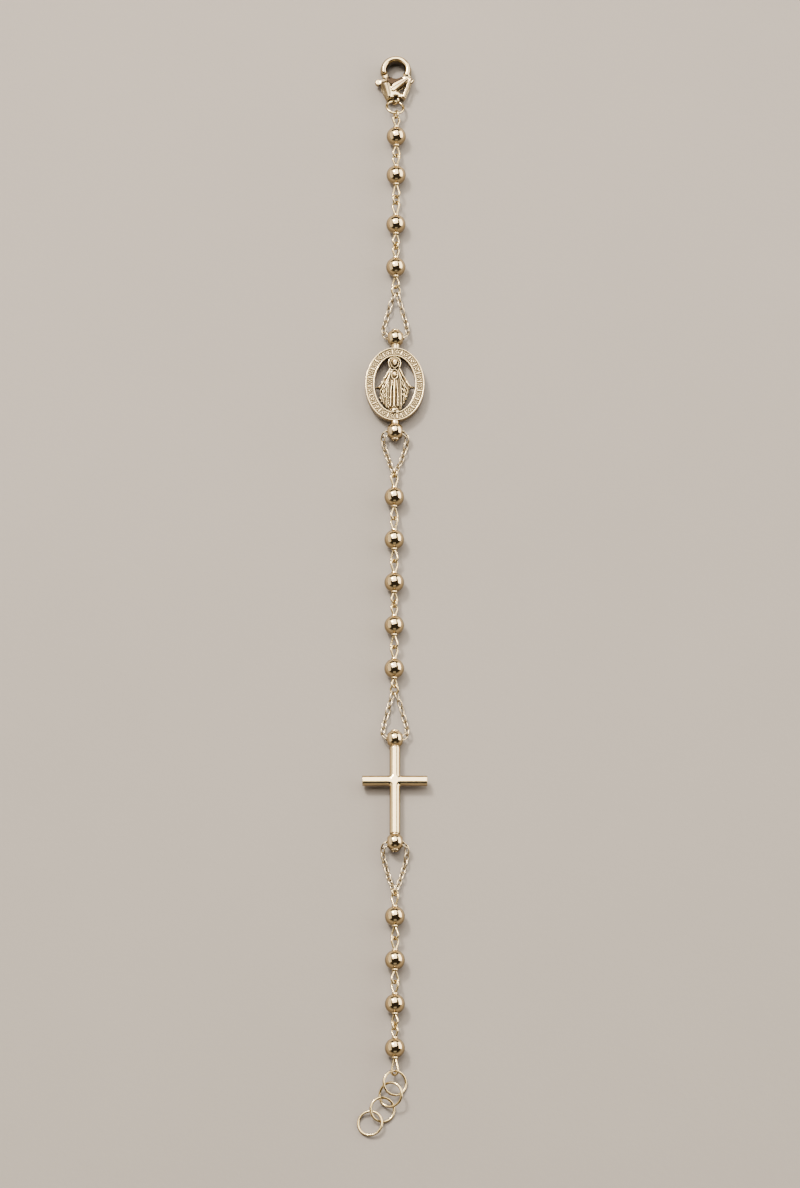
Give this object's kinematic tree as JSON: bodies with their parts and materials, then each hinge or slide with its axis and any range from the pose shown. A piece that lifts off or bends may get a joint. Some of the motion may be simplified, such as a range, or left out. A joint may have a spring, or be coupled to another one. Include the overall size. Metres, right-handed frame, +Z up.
{
  "type": "beaded devotional bracelet",
  "caption": "Devotional bracelet laid out open: round beads on looped pins, an openwork oval medal, a plain cross, a lobster clasp and a tail of rings.",
  "frame": {"origin": "centre of the bracelet's outline as it lies straight on a table, at the table's surface", "axes": "+Y along the bracelet towards the clasp, +Z up from the table, +X to the right of the medal's figure as the viewer sees it"},
  "size_m": [0.0114, 0.1898, 0.0033],
  "materials": {
    "bead_gold": "polished pale rose gold",
    "cast_gold": "cast pale rose gold, polished on the high points",
    "wire_gold": "bright pale gold wire"
  },
  "bodies": {
    "bracelet": {"clasp_body": "wire_gold", "clasp_ring": "wire_gold", "top_link": "wire_gold", "bead_01": "bead_gold", "bead_02": "bead_gold", "bead_03": "bead_gold", "bead_04": "bead_gold", "bead_05": "bead_gold", "bead_06": "bead_gold", "bead_07": "bead_gold", "bead_08": "bead_gold", "bead_09": "bead_gold", "bead_10": "bead_gold", "bead_11": "bead_gold", "bead_12": "bead_gold", "bead_13": "bead_gold", "pin_01": "wire_gold", "pin_02": "wire_gold", "pin_03": "wire_gold", "pin_04": "wire_gold", "pin_05": "wire_gold", "pin_06": "wire_gold", "pin_07": "wire_gold", "pin_08": "wire_gold", "pin_09": "wire_gold", "pin_10": "wire_gold", "pin_11": "wire_gold", "pin_12": "wire_gold", "pin_13": "wire_gold", "joint_link_02": "wire_gold", "joint_link_03": "wire_gold", "joint_link_07": "wire_gold", "joint_link_12": "wire_gold", "medal_top_link": "wire_gold", "medal_top_chain": "wire_gold", "medal": "cast_gold", "medal_end_chain": "wire_gold", "medal_end_link": "wire_gold", "cross_top_link": "wire_gold", "cross_top_chain": "wire_gold", "cross": "cast_gold", "cross_end_chain": "wire_gold", "cross_end_link": "wire_gold", "tail_ring_1": "wire_gold", "tail_ring_2": "wire_gold", "tail_ring_3": "wire_gold", "tail_ring_4": "wire_gold"},
    "lever": {"clasp_lever": "wire_gold"}
  },
  "joints": [
    {"name": "clasp_lever_hinge", "type": "hinge", "parent": "bracelet", "child": "lever", "pos_m": [0.00237, 0.09064, 0.0012], "axis": [0, 0, 1], "range_deg": [0, 20], "stiffness_Nm_per_rad": 0.00005}
  ]
}
